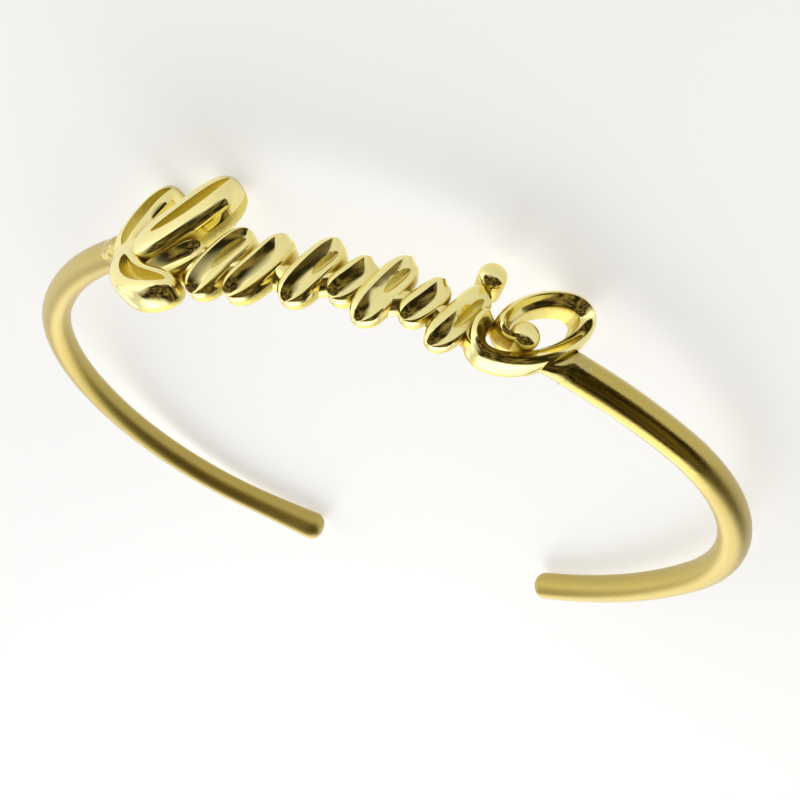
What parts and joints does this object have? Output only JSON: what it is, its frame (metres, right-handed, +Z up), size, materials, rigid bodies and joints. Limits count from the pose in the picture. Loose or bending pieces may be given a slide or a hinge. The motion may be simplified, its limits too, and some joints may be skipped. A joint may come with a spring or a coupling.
{
  "type": "open cuff bracelet with a pierced plate",
  "caption": "Open oval wire cuff with a pierced leaf-and-scroll plate soldered across its front.",
  "frame": {"origin": "middle of the bounding box's underside, on the table that the cuff lies on", "axes": "+X along the cuff's width, towards the tall leaves' arm turned over; +Y from the plate towards the open mouth; +Z up, near the axis the wrist goes in along"},
  "size_m": [0.0634, 0.0467, 0.011],
  "materials": {
    "gold": "polished gold plating, satin on the wire"
  },
  "bodies": {
    "root": {"bracelet": "gold"}
  },
  "joints": []
}
